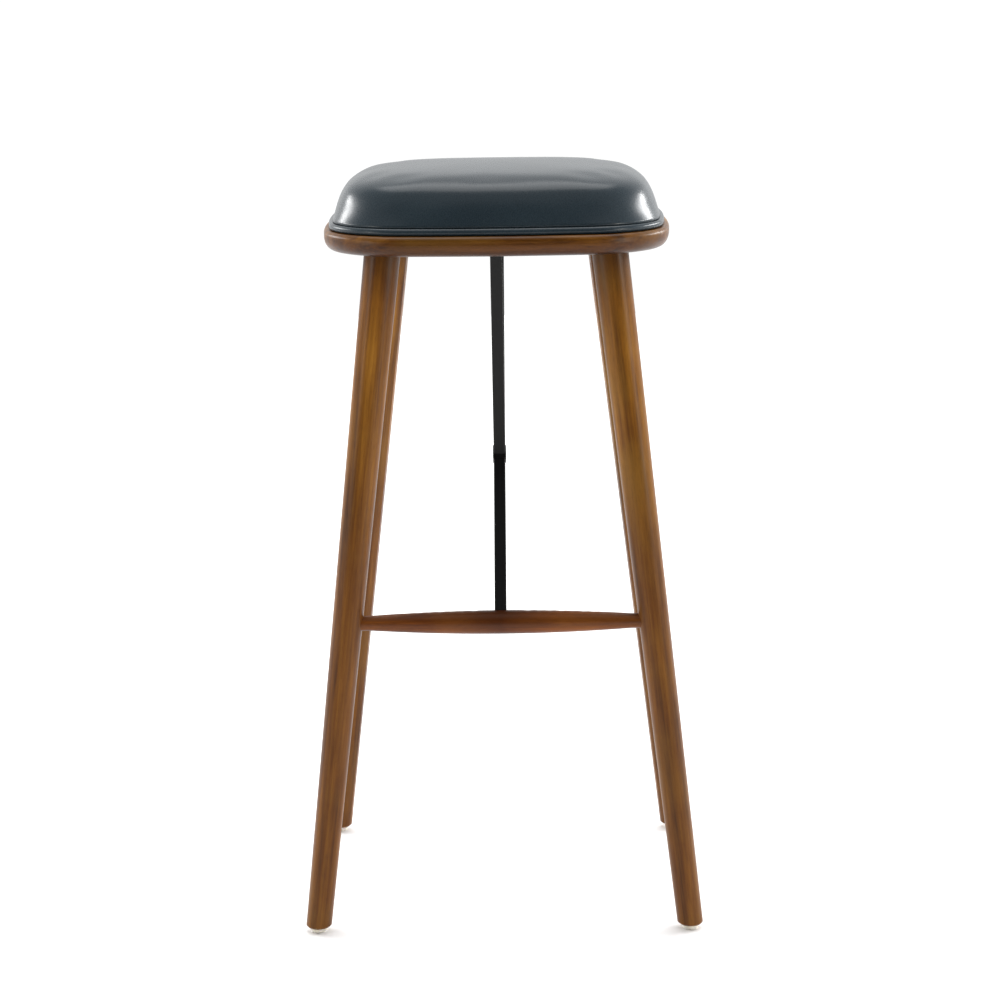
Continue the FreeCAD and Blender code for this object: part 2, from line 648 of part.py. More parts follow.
def bar(name, start, end, frame):
    """A square bar with rolled corners, from start to end up its own axis."""
    body = doc.addObject("PartDesign::Body", name)
    sketch = new_sketch(body, name + "_section", "XY_Plane", start)
    square(sketch, "bar_size")
    pad = body.newObject("PartDesign::Pad", name + "_pad")
    pad.Profile = sketch
    bind(pad, Length=f"{end} - ({start})")
    doc.recompute()
    lengthwise = [f"Edge{index}" for index, edge in enumerate(pad.Shape.Edges, start=1)
                  if abs(edge.tangentAt(edge.FirstParameter).z) > 0.99]
    fillet = body.newObject("PartDesign::Fillet", name + "_rolled")
    fillet.Base = (pad, lengthwise)
    bind(fillet, Radius="bar_round")
    body.Placement = frame
    return body


above_plates = box("space_above_plates", (
    f"0 - {REACH} / 2", f"0 - {REACH}", PLATE_FLOOR), (f"{REACH}", f"{REACH} * 2", f"{REACH}"))
long_frame = bar_frame(FOOTREST_PLACE, "footrest_height", BAR_RUN, BAR_RISE)
long_bar = bar("long_bar_blank", "0 - bar_end_depth", f"{BAR_LENGTH} + bar_size", long_frame)
nodes["brace_long_bar"] = cut("brace_long_bar", long_bar, above_plates)

SLEEVE_SIZE = "(bar_size + 2 * sleeve_wall)"
sleeve = doc.addObject("PartDesign::Body", "brace_sleeve")
ring = new_sketch(sleeve, "sleeve_section", "XY_Plane", "brace_joint - sleeve_length / 2")
square(ring, SLEEVE_SIZE, "outer")
square(ring, "bar_size + fit_gap", "inner")
sleeve_pad = sleeve.newObject("PartDesign::Pad", "sleeve_pad")
sleeve_pad.Profile = ring
bind(sleeve_pad, Length="sleeve_length")
sleeve.Placement = long_frame
nodes["brace_sleeve"] = sleeve

arm_frame = bar_frame(JOINT_PLACE, JOINT_HEIGHT, ARM_RUN, ARM_RISE)
arm = bar("front_arm_blank", "0", f"{ARM_LENGTH} + bar_size", arm_frame)
behind_sleeve = doc.addObject("Part::Box", "space_behind_sleeve")
bind(behind_sleeve, Length=f"{REACH}", Width=f"{REACH}", Height=BAR_LENGTH)
corner = Vector(-REACH / 2, -value(SLEEVE_SIZE) / 2, 0)
behind_sleeve.Placement = long_frame.multiply(Placement(corner, Rotation()))
nodes["brace_front_arm"] = cut("brace_front_arm", arm, above_plates, behind_sleeve)

# ---------------------------------------------------------------- footrest and its set screw


def make_footrest():
    """A spindle turned about X: straight ends and one long arc through the thick middle."""
    body = doc.addObject("PartDesign::Body", "footrest_blank")
    sketch = new_sketch(body, "footrest_profile", "XY_Plane")
    half = value(FOOTREST_HALF)
    waist = value(f"{FOOTREST_HALF} - footrest_end_length")
    thin = value("footrest_end_diameter / 2")
    thick = value("footrest_middle_diameter / 2")
    places = [Vector(-waist, thin, 0), Vector(-half, thin, 0), Vector(-half, 0, 0),
              Vector(half, 0, 0), Vector(half, thin, 0), Vector(waist, thin, 0)]
    for start, end in zip(places, places[1:]):
        sketch.addGeometry(Part.LineSegment(start, end))
    swell = Part.Arc(places[5], Vector(0, thick, 0), places[0])
    sketch.addGeometry(swell)
    for index in range(6):
        arc_end = 2 if swell_ends_at(sketch.Geometry[5], places[0]) else 1
        pair = {4: (4, 2, 5, 3 - arc_end), 5: (5, arc_end, 0, 1)}.get(index, (index, 2, index + 1, 1))
        sketch.addConstraint(Sketcher.Constraint("Coincident", *pair))
    corners = ((f"0 - {FOOTREST_HALF} + footrest_end_length", "footrest_end_diameter / 2"),
               (f"0 - {FOOTREST_HALF}", "footrest_end_diameter / 2"),
               (f"0 - {FOOTREST_HALF}", "0"),
               (FOOTREST_HALF, "0"),
               (FOOTREST_HALF, "footrest_end_diameter / 2"))
    for index, (across, up) in enumerate(corners):
        pin_point(sketch, index, 1, across, up, f"corner_{index}_")
    pin_point(sketch, 4, 2, f"{FOOTREST_HALF} - footrest_end_length", "footrest_end_diameter / 2", "waist_")
    chord = f"({FOOTREST_HALF} - footrest_end_length)"
    swelling = "((footrest_middle_diameter - footrest_end_diameter) / 2)"
    radius = f"({chord} ^ 2 + {swelling} ^ 2) / (2 * {swelling})"
    dimension(sketch, Sketcher.Constraint("Radius", 5, value(radius)), "swell_radius", radius)
    feature = body.newObject("PartDesign::Revolution", "footrest_turned")
    feature.Profile = sketch
    feature.ReferenceAxis = (sketch, ["H_Axis"])
    feature.Angle = 360
    body.setExpression("Placement.Base.y", cells(FOOTREST_PLACE))
    body.setExpression("Placement.Base.z", cells("footrest_height"))
    return body


def swell_ends_at(arc, place):
    """Whether the arc, once stored in the sketch, ends at this place rather than starts there."""
    return (arc.EndPoint - place).Length < (arc.StartPoint - place).Length


mortise = doc.addObject("Part::Box", "bar_mortise")
bind(mortise, Length="bar_size + 2 * fit_gap", Width="bar_size + 2 * fit_gap",
     Height="footrest_middle_diameter")
corner = Vector(-value("bar_size / 2 + fit_gap"), -value("bar_size / 2 + fit_gap"), -value("bar_end_depth"))
mortise.Placement = long_frame.multiply(Placement(corner, Rotation()))

set_screw = turned("brace_set_screw", (
    ("0", "bar_size / 2"),
    ("set_screw_diameter / 2", "bar_size / 2"),
    ("set_screw_diameter / 2", "bar_size / 2 + set_screw_length"),
    ("0", "bar_size / 2 + set_screw_length"),
))
socket(set_screw, "set_screw", "set_screw_flats", "bar_size / 2 + set_screw_length", "set_screw_socket_depth")
screw_frame = long_frame.multiply(Placement(Vector(0, 0, value("set_screw_offset")), Rotation(ACROSS, -90)))
set_screw.Placement = screw_frame
nodes["brace_set_screw"] = set_screw
set_screw_bore = doc.addObject("Part::Cylinder", "set_screw_bore")
bind(set_screw_bore, Radius="set_screw_diameter / 2", Height="footrest_middle_diameter")
set_screw_bore.Placement = screw_frame
nodes["footrest"] = cut("footrest", make_footrest(), mortise, set_screw_bore)

# ---------------------------------------------------------------- seat base


def make_seat_blank():
    """The seat base's slab: plan outline padded up, upper edge eased, lower edge bullnosed."""
    body = prism("seat_blank", "0", "seat_underside", "seat_thickness")
    doc.recompute()
    pad = body.Tip
    middle = value("seat_underside + seat_thickness / 2")
    flat = [(index, edge) for index, edge in enumerate(pad.Shape.Edges, start=1)
            if edge.BoundBox.ZLength < value("fit_gap")]
    upper = [f"Edge{index}" for index, edge in flat if edge.CenterOfMass.z > middle]
    eased = body.newObject("PartDesign::Fillet", "seat_upper_edge")
    eased.Base = (pad, upper)
    bind(eased, Radius="seat_top_round")
    doc.recompute()
    floor = value("seat_underside")
    lower = [f"Edge{index}" for index, edge in enumerate(eased.Shape.Edges, start=1)
             if edge.BoundBox.ZMax < floor + value("fit_gap")]
    nosed = body.newObject("PartDesign::Fillet", "seat_lower_edge")
    nosed.Base = (eased, lower)
    bind(nosed, Radius="min(seat_bottom_round; seat_thickness - seat_top_round - 1)")
    return body


seat_cutters = four_ways(bolt_bore, "seat_bolt_bore")
seat_cutters += four_ways(screw_bore, "seat_screw_bore")
nodes["seat_base"] = cut("seat_base", make_seat_blank(), *seat_cutters, *plate_screw_bores)

# ---------------------------------------------------------------- cushion: leather, foam and board

BAND_INSET = "(welt_ledge + welt_diameter + soft_gap)"
BAND_INNER = f"({BAND_INSET} + leather_thickness)"
BOARD_INSET = f"({BAND_INNER} + soft_gap)"
GROOVE_TOP = f"({SEAT_TOP} + groove_height)"
CROWN = f"({SEAT_TOP} + cushion_height)"


def side_inset(height):
    """How far the cushion's side stands in from the seat's outline at a height."""
    share = f"(({height}) - {GROOVE_TOP}) / ({CROWN} - {GROOVE_TOP})"
    return f"(welt_ledge + cushion_setback + cushion_lean * {share})"


def dome(name, skin, bottom):
    """The cushion's rounded dome, moved inwards by a skin thickness, down to a level bottom.

    The ball that crowns it is turned so that its seam faces down, clear of the dome's rim.
    """
    above = f"{CROWN} + board_thickness"
    body = doc.addObject("PartDesign::Body", name + "_blank")
    sections = []
    for level, label in ((bottom, "foot"), (above, "head")):
        sketch = new_sketch(body, f"{name}_{label}", "XY_Plane", level)
        outline(sketch, f"{side_inset(level)} + {skin}")
        sections.append(sketch)
    loft = body.newObject("PartDesign::AdditiveLoft", name + "_loft")
    loft.Profile = sections[0]
    loft.Sections = sections[1:]
    loft.Ruled = True
    ball = doc.addObject("Part::Sphere", name + "_crown")
    bind(ball, Radius=f"crown_radius - ({skin})")
    ball.Placement = Placement(Vector(), Rotation(Vector(0, 1, 0), 90))
    ball.setExpression("Placement.Base.z", cells(f"{CROWN} - crown_radius"))
    crowned = doc.addObject("Part::Common", name + "_crowned")
    crowned.Base = body
    crowned.Tool = ball
    doc.recompute()
    top = next(face for face in crowned.Shape.Faces if isinstance(face.Surface, Part.Sphere))
    rims = [index for index, edge in enumerate(crowned.Shape.Edges, start=1)
            if any(edge.isSame(rim) for rim in top.Edges)]
    rounded = doc.addObject("Part::Fillet", name)
    rounded.Base = crowned
    radius = value(f"cushion_round - ({skin})")
    rounded.Edges = [(index, radius, radius) for index in rims]
    return rounded


def make_staples():
    """Staples along the four sides of the board, driven up through the turned-under leather."""
    master = doc.addObject("PartDesign::Body", "staple")
    sketch = new_sketch(master, "staple_outline", "XZ_Plane")
    half = "staple_crown / 2"
    polygon(sketch, (
        (f"0 - {half}", "0"), (half, "0"), (half, "staple_reach"),
        (f"{half} - staple_wire", "staple_reach"), (f"{half} - staple_wire", "staple_wire"),
        (f"staple_wire - {half}", "staple_wire"), (f"staple_wire - {half}", "staple_reach"),
        (f"0 - {half}", "staple_reach"),
    ))
    pad = master.newObject("PartDesign::Pad", "staple_pad")
    pad.Profile = sketch
    pad.Midplane = True
    bind(pad, Length="staple_wire")
    doc.recompute()
    radius = value(f"seat_side_radius - {BOARD_INSET} - staple_inset")
    copies = []
    for quarter, (half_side, half_run) in enumerate((("seat_depth", "seat_width"),
                                                     ("seat_width", "seat_depth")) * 2):
        centre = value(f"{half_side} / 2") - value("seat_side_radius")
        room = value(f"{half_run} / 2 - seat_corner_radius")
        count = int(room // value("staple_pitch"))
        for step in range(-count, count + 1):
            across = step * value("staple_pitch")
            place = Vector(across, centre + math.sqrt(radius ** 2 - across ** 2), value(SEAT_TOP))
            staple = master.Shape.copy()
            staple.Placement = Placement(Vector(), Rotation(Vector(0, 0, 1), 90 * quarter)).multiply(
                Placement(place, Rotation()))
            copies.append(staple)
    node = doc.addObject("Part::Feature", "cover_staples")
    node.Shape = Part.makeCompound(copies)
    return node


staples = make_staples()
nodes["cover_staples"] = staples

outer_dome = dome("outer_dome", "0", GROOVE_TOP)
inner_dome = dome("inner_dome", "leather_thickness", f"{GROOVE_TOP} + leather_thickness")
band = prism("leather_band", BAND_INSET, SEAT_TOP, "groove_height + leather_thickness / 2")
core = prism("leather_core", BAND_INNER, BOARD_FLOOR, "groove_height + leather_thickness")
opening = prism("leather_opening", f"{BAND_INNER} + tuck_width", f"{SEAT_TOP} - leather_thickness",
                "leather_thickness * 3")
leather = doc.addObject("Part::MultiFuse", "leather_block")
leather.Shapes = [outer_dome, band]
nodes["cushion_cover"] = cut("cushion_cover", leather, inner_dome, core, opening, staples)

nodes["cushion_foam"] = dome("cushion_foam", "(leather_thickness + soft_gap)", f"{BOARD_TOP} + soft_gap")

board = prism("board_blank", BOARD_INSET, BOARD_FLOOR, "board_thickness")
board_cutters = four_ways(nut_bore, "board_nut_bore")
nodes["cushion_board"] = cut("cushion_board", board, *board_cutters, staples)

# ---------------------------------------------------------------- welt and its cord


def ring_round_seat(inset, diameter, height):
    """A closed round cord that follows the seat's plan, as a shape."""
    path = Part.Wire([arc.toShape() for arc in outline_arcs(inset)])
    path.translate(Vector(0, 0, height))
    first = path.Edges[0]
    start = first.valueAt(first.FirstParameter)
    along = first.tangentAt(first.FirstParameter)
    section = Part.Wire([Part.Circle(start, along, diameter / 2).toShape()])
    return path.makePipeShell([section], True, False)


welt_inset = value("welt_ledge + welt_diameter / 2")
welt_height = value(f"{SEAT_TOP} + welt_lift + welt_diameter / 2")
cord_room = value("welt_cord_diameter + 2 * fit_gap")
welt = doc.addObject("Part::Feature", "cushion_welt")
welt.Shape = ring_round_seat(welt_inset, value("welt_diameter"), welt_height).cut(
    ring_round_seat(welt_inset, cord_room, welt_height))
nodes["cushion_welt"] = welt
cord = doc.addObject("Part::Feature", "welt_cord")
cord.Shape = ring_round_seat(welt_inset, value("welt_cord_diameter"), welt_height)
nodes["welt_cord"] = cord

# ---------------------------------------------------------------- check and write

doc.recompute()
for item in doc.Objects:
    if {"Invalid", "Error"} & set(item.State):
        raise RuntimeError(f"{item.Label} failed: {item.State}")
for label, piece in nodes.items():
    piece.Label = label
    if piece.Shape.isNull() or not piece.Shape.isValid() or not piece.Shape.Solids:
        raise RuntimeError(f"{label} has no valid solid")
os.makedirs("parts", exist_ok=True)
for label, piece in nodes.items():
    piece.Shape.exportStep(f"parts/{label}.step")
    print(label, len(piece.Shape.Solids), round(piece.Shape.Volume))
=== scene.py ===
"""Bar stool with a footrest: looks for its wood, steel and leather pieces, in the order it is put together.

The stool stands on z = 0 with its centre on the z axis. The footrest side faces -Y, and X is the width.
"""
import math

import bpy
import numpy as np
from mathutils import Matrix, Vector


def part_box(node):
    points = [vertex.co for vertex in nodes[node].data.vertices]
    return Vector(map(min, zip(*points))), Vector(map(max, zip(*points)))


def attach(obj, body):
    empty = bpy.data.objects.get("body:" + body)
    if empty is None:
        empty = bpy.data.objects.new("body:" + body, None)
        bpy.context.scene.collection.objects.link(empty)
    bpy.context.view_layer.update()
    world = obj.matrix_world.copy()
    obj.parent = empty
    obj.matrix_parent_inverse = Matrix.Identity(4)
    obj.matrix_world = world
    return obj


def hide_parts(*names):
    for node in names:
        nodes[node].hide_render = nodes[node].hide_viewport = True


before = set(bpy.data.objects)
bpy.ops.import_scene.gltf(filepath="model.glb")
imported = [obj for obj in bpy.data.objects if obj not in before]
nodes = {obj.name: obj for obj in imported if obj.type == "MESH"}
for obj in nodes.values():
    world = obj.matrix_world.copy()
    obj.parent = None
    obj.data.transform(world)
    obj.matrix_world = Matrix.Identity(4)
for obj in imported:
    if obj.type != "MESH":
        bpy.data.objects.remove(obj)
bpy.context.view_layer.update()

MM = 0.001

# ---------------------------------------------------------------- seat base
# A slab of solid rubberwood, glued up from a few wide staves that run left to right. It is cut to a
# rounded square, bullnosed underneath, stained walnut brown and sprayed with a satin lacquer.

STAVE = 62 * MM                       # width of a glued stave, front to rear
PORE = 0.35 * MM                      # width of one fibre streak
STREAK = 2.4 * MM                     # width of a grain streak
CLOUD = 60 * MM                       # size of the stain's uneven patches
STAIN_DARK = "4c2c09"                 # stain that has gathered in soft grain
STAIN_MIDDLE = "7e500f"
STAIN_LIGHT = "a27129"                # hard grain that takes little stain
STAIN_GOLD = "946c27"                 # golden patches where the coat is thin


def colour(code):
    """Linear colour with alpha 1 of an sRGB hex code: c / 12.92 up to 0.04045, and above that
    ((c + 0.055) / 1.055) ^ 2.4."""
    share = np.array([int(code[i:i + 2], 16) for i in (0, 2, 4)]) / 255
    linear = np.where(share <= 0.04045, share / 12.92, ((share + 0.055) / 1.055) ** 2.4)
    return (*map(float, linear), 1.0)


def add(material, kind, settings=(), **links):
    """Adds a node. Settings go to its properties or, where it has no such property, to its input sockets;
    links name input sockets, with _ for a space, and give the output socket that feeds each."""
    node = material.node_tree.nodes.new("ShaderNode" + kind)
    for name, value in dict(settings).items():
        if isinstance(name, str) and hasattr(node, name):
            setattr(node, name, value)
        else:
            node.inputs[name].default_value = value
    for name, source in links.items():
        key = int(name[1:]) if name[1:].isdigit() else name.replace("_", " ")
        material.node_tree.links.new(source, node.inputs[key])
    return node


def finish(name, **settings):
    """A new material and its shader. Settings go to the shader's sockets, with _ for a space."""
    material = bpy.data.materials.new(name)
    material.use_nodes = True
    shader = material.node_tree.nodes["Principled BSDF"]
    for key, value in settings.items():
        shader.inputs[key.replace("_", " ")].default_value = value
    return material, shader


def ramp(material, source, *stops):
    """A colour ramp through (position, hex code) stops, fed by a socket."""
    node = add(material, "ValToRGB", Fac=source)
    band = node.color_ramp
    while len(band.elements) < len(stops):
        band.elements.new(0.5)
    for element, (place, code) in zip(band.elements, stops):
        element.position = place
        element.color = colour(code)
    return node.outputs["Color"]


def mix(material, share, first, second, blend="MIX"):
    """Two colour sockets mixed by a share, which is a number or a socket."""
    node = add(material, "Mix", {"data_type": "RGBA", "blend_type": blend})
    for place, value in ((0, share), (6, first), (7, second)):
        if isinstance(value, bpy.types.NodeSocket):
            material.node_tree.links.new(value, node.inputs[place])
        else:
            node.inputs[place].default_value = value
    return node.outputs[2]


def stained_wood(name, along, tone=0.0, staves=False, shade=None):
    """Rubberwood under a walnut stain and a satin lacquer. The grain runs along one direction, given as a
    vector; tone shifts the streaks so that pieces differ. Long soft streaks come from noise squeezed
    twenty to one along the grain, fine fibres from finer noise, and patches of stain from slow noise.
    shade = (axis, from, to, stops) darkens the wood along an axis, by the ramp's colour times the wood's:
    painted light and shade on the base and legs, and a darker middle on the footrest."""
    material, shader = finish(name, Roughness=0.36, IOR=1.5, Specular_IOR_Level=0.22)
    place = add(material, "TexCoord").outputs["Object"]
    turn = Vector(along).to_track_quat("Z", "Y").to_euler()
    turned = add(material, "VectorRotate", {"rotation_type": "EULER_XYZ", "invert": True, "Rotation": turn},
                 Vector=place).outputs[0]
    shifted = add(material, "VectorMath", {"operation": "ADD", 1: (tone * 3.7, tone * 2.3, tone * 5.1)},
                  i0=turned).outputs[0]

    def streaks(width, length, detail, rough=0.5):
        """Noise whose features are a width across the grain and a length along it."""
        scaled = add(material, "VectorMath", {"operation": "MULTIPLY", 1: (1 / width, 1 / width, 1 / length)},
                     i0=shifted).outputs[0]
        return add(material, "TexNoise", {"Scale": 1.0, "Detail": detail, "Roughness": rough},
                   Vector=scaled).outputs["Fac"]

    wide = streaks(9 * MM, 160 * MM, 2)
    grain = streaks(STREAK, 70 * MM, 3, 0.6)
    fibre = streaks(PORE, 9 * MM, 1)
    cloud = streaks(CLOUD, 90 * MM, 2)
    broad = ramp(material, wide, (0.32, STAIN_DARK), (0.5, STAIN_MIDDLE), (0.68, STAIN_LIGHT))
    fine = ramp(material, grain, (0.3, STAIN_DARK), (0.52, STAIN_MIDDLE), (0.75, STAIN_LIGHT))
    body = mix(material, 0.42, broad, fine)
    gold = add(material, "MapRange", {"From Min": 0.46, "From Max": 0.68, "To Max": 0.6},
               Value=cloud).outputs[0]
    body = mix(material, gold, body, colour(STAIN_GOLD))
    dots = ramp(material, fibre, (0.28, "b9b0a8"), (0.46, "ffffff"))
    body = mix(material, 0.5, body, dots, "MULTIPLY")
    if staves:
        row = add(material, "SeparateXYZ", Vector=place).outputs["Y"]
        number = add(material, "Math", {"operation": "DIVIDE", 1: STAVE}, i0=row).outputs[0]
        number = add(material, "Math", {"operation": "ADD", 1: 0.5}, i0=number).outputs[0]
        number = add(material, "Math", {"operation": "FLOOR"}, i0=number).outputs[0]
        chance = add(material, "TexWhiteNoise", {"noise_dimensions": "1D"}, W=number).outputs["Value"]
        stave_tone = ramp(material, chance, (0.0, "c9bfb6"), (1.0, "ffffff"))
        body = mix(material, 1.0, body, stave_tone, "MULTIPLY")
    if shade:
        axis, start, end, stops = shade
        along_axis = add(material, "SeparateXYZ", Vector=place).outputs[axis]
        travel = add(material, "MapRange", {"From Min": start, "From Max": end}, Value=along_axis).outputs[0]
        body = mix(material, 1.0, body, ramp(material, travel, *stops), "MULTIPLY")
    material.node_tree.links.new(body, shader.inputs["Base Color"])
    rough = add(material, "MapRange", {"To Min": 0.3, "To Max": 0.44}, Value=grain).outputs[0]
    material.node_tree.links.new(rough, shader.inputs["Roughness"])
    bump = add(material, "Bump", {"Strength": 0.12, "Distance": 0.2 * MM}, Height=fibre)
    bump = add(material, "Bump", {"Strength": 0.1, "Distance": 0.4 * MM}, Height=grain,
               Normal=bump.outputs[0])
    material.node_tree.links.new(bump.outputs[0], shader.inputs["Normal"])
    return material


def paint(material, *names):
    """Gives CAD pieces their finish."""
    for name in names:
        nodes[name].data.materials.clear()
        nodes[name].data.materials.append(material)


base_low, base_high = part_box("seat_base")
# Painted shade: the base's colour is darkened towards its underside, as if the lower edge got less light from
# above than the top rim.
painted_underside_shade = ("Z", base_low.z, base_high.z, ((0.0, "826c68"), (0.45, "cfc0b4"), (0.8, "ffffff")))
paint(stained_wood("walnut_stained_rubberwood_base", (1, 0, 0), 0.2, staves=True, shade=painted_underside_shade),
      "seat_base")

# ---------------------------------------------------------------- legs
# Four round rubberwood legs, turned to a taper from 36 mm under the seat to 26 mm at the foot, stained and
# lacquered like the base. Each butts against the base's underside, and a bolt through the base holds it.

LEG_MEAN = 31 * MM                    # mean of the diameters at the seat and at the foot

for number, (name, side, end) in enumerate((
        ("leg_front_left", -1, -1), ("leg_front_right", 1, -1),
        ("leg_rear_left", -1, 1), ("leg_rear_right", 1, 1))):
    low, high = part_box(name)
    across = (high.x - low.x - LEG_MEAN) * side
    along = (high.y - low.y - LEG_MEAN) * end
    rise = high.z - low.z
    # Along the leg's height the colour is darker towards the foot and lightest just below the head. This is
    # partly the stain's own tone and partly a painted highlight from the side lights. The top few centimetres
    # are darkened as a painted shadow of the seat.
    painted_leg_light_and_seat_shadow = ("Z", 0.0, high.z, ((0.0, "d0c0aa"), (0.55, "d6c6b4"), (0.72, "f2ead8"), (0.86, "fff8ea"),
                                (0.93, "eadccc"), (0.99, "a09084")))
    grain_way = (-across, -along, rise)
    paint(stained_wood("walnut_stained_" + name, grain_way, 1 + 0.37 * number, shade=painted_leg_light_and_seat_shadow), name)

# ---------------------------------------------------------------- leg bolts, washers and inserts
# M8 cap screws with washers, driven down through the base into threaded inserts in the leg heads. All are
# steel with a thin bright zinc coat, and the cushion hides them.


def plated_steel(name, tint, rough):
    """Zinc on steel: a metal whose roughness and colour drift a little with the crystals of the coat."""
    material, shader = finish(name, Metallic=1.0, Roughness=rough)
    place = add(material, "TexCoord").outputs["Object"]
    grain = add(material, "TexNoise", {"Scale": 1 / (1.5 * MM), "Detail": 2}, Vector=place).outputs["Fac"]
    tone = ramp(material, grain, (0.3, tint[0]), (0.7, tint[1]))
    material.node_tree.links.new(tone, shader.inputs["Base Color"])
    rougher = add(material, "MapRange", {"To Min": rough - 0.07, "To Max": rough + 0.1},
                  Value=grain).outputs[0]
    material.node_tree.links.new(rougher, shader.inputs["Roughness"])
    return material


zinc = plated_steel("bright_zinc_plated_steel", ("b4b6ba", "cfd2d6"), 0.34)
paint(zinc, "leg_bolts", "leg_bolt_washers", "leg_inserts", "tee_nuts", "cover_staples", "glide_nails")

# ---------------------------------------------------------------- footrest
# A rubberwood spindle, 24 mm thick in the middle and 15 mm at the ends, which are glued into the front
# legs. It is stained a little darker and redder than the legs.

STAIN_DARK, STAIN_MIDDLE, STAIN_LIGHT, STAIN_GOLD = "421f0a", "693a14", "92551e", "885420"
foot_low, foot_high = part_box("footrest")
# The spindle's colour is darker in the middle and lighter towards the ends.
darker_middle = ("X", foot_low.x, foot_high.x, ((0.0, "ffffff"), (0.3, "e8dcd4"), (0.5, "a08c84"), (0.7, "f4e8dc"),
                                       (1.0, "ffffff")))
paint(stained_wood("dark_walnut_stained_footrest", (1, 0, 0), 2.9, shade=darker_middle), "footrest")

# ---------------------------------------------------------------- brace
# A Y of 12 mm square steel bar: a long bar from the rear plate down into the footrest, and a front arm that
# is welded to it under a sleeve. Bars, sleeve and plates have one fine-textured black powder coat.


def powder_coat(name):
    """Baked polyester powder: near black and satin, with the fine orange peel of about 0.8 mm that powder
    leaves."""
    material, shader = finish(name, Roughness=0.42, IOR=1.5, Specular_IOR_Level=0.2)
    place = add(material, "TexCoord").outputs["Object"]
    peel = add(material, "TexNoise", {"Scale": 1 / (0.8 * MM), "Detail": 1}, Vector=place).outputs["Fac"]
    slow = add(material, "TexNoise", {"Scale": 1 / (25 * MM), "Detail": 2}, Vector=place).outputs["Fac"]
    tone = ramp(material, slow, (0.3, "080808"), (0.7, "0d0d0d"))
    material.node_tree.links.new(tone, shader.inputs["Base Color"])
    rougher = add(material, "MapRange", {"To Min": 0.36, "To Max": 0.5}, Value=slow).outputs[0]
    material.node_tree.links.new(rougher, shader.inputs["Roughness"])
    bump = add(material, "Bump", {"Strength": 0.15, "Distance": 0.05 * MM}, Height=peel)
    material.node_tree.links.new(bump.outputs[0], shader.inputs["Normal"])
    return material


paint(powder_coat("black_powder_coat"), "brace_long_bar", "brace_front_arm", "brace_sleeve",
      "brace_front_plate", "brace_rear_plate")
black_zinc = plated_steel("black_zinc_plated_steel", ("1d1d1f", "2c2c30"), 0.4)
paint(black_zinc, "brace_plate_screws", "brace_set_screw", "cushion_screws", "cushion_screw_washers")

# ---------------------------------------------------------------- cushion board
# A 9 mm birch plywood board with seven veneers. Four tee nuts in it take the screws that come up through
# the seat base, and the cover hides it.

VENEER = 9 * MM / 7


def birch_plywood(name):
    """Pale birch veneers. Bands of one veneer's thickness, light and brown in turn, show at the edge, and
    soft grain runs along x on the faces."""
    material, shader = finish(name, Roughness=0.6, IOR=1.5)
    place = add(material, "TexCoord").outputs["Object"]
    stretched = add(material, "VectorMath", {"operation": "MULTIPLY", 1: (12, 260, 260)}, i0=place).outputs[0]
    grain = add(material, "TexNoise", {"Scale": 1.0, "Detail": 3}, Vector=stretched).outputs["Fac"]
    face = ramp(material, grain, (0.3, "c7a878"), (0.7, "e0c99e"))
    height = add(material, "SeparateXYZ", Vector=place).outputs["Z"]
    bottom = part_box("cushion_board")[0].z
    layer = add(material, "Math", {"operation": "SUBTRACT", 1: bottom}, i0=height).outputs[0]
    layer = add(material, "Math", {"operation": "DIVIDE", 1: 2 * VENEER}, i0=layer).outputs[0]
    layer = add(material, "Math", {"operation": "FRACT"}, i0=layer).outputs[0]
    edge = add(material, "Math", {"operation": "GREATER_THAN", 1: 0.5}, i0=layer).outputs[0]
    body = mix(material, edge, face, mix(material, 0.6, face, colour("9a7446")))
    material.node_tree.links.new(body, shader.inputs["Base Color"])
    bump = add(material, "Bump", {"Strength": 0.2, "Distance": 0.2 * MM}, Height=grain)
    material.node_tree.links.new(bump.outputs[0], shader.inputs["Normal"])
    return material


paint(birch_plywood("birch_plywood"), "cushion_board")

# ---------------------------------------------------------------- cushion foam
# A block of polyurethane foam, glued on the board and shaved to a dome. It gives the cushion its crowned
# form, and the leather pulls it in, so the made-up pad's outside is worked out first.

LEATHER = 1.2 * MM
SIDE_RADIUS = 800 * MM                # plan radius of the bowed sides
CORNER_RADIUS = 90 * MM               # plan radius of the corners
cover_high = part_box("cushion_cover")[1]
half_width = base_high.x
half_depth = base_high.y
wood_top = base_high.z


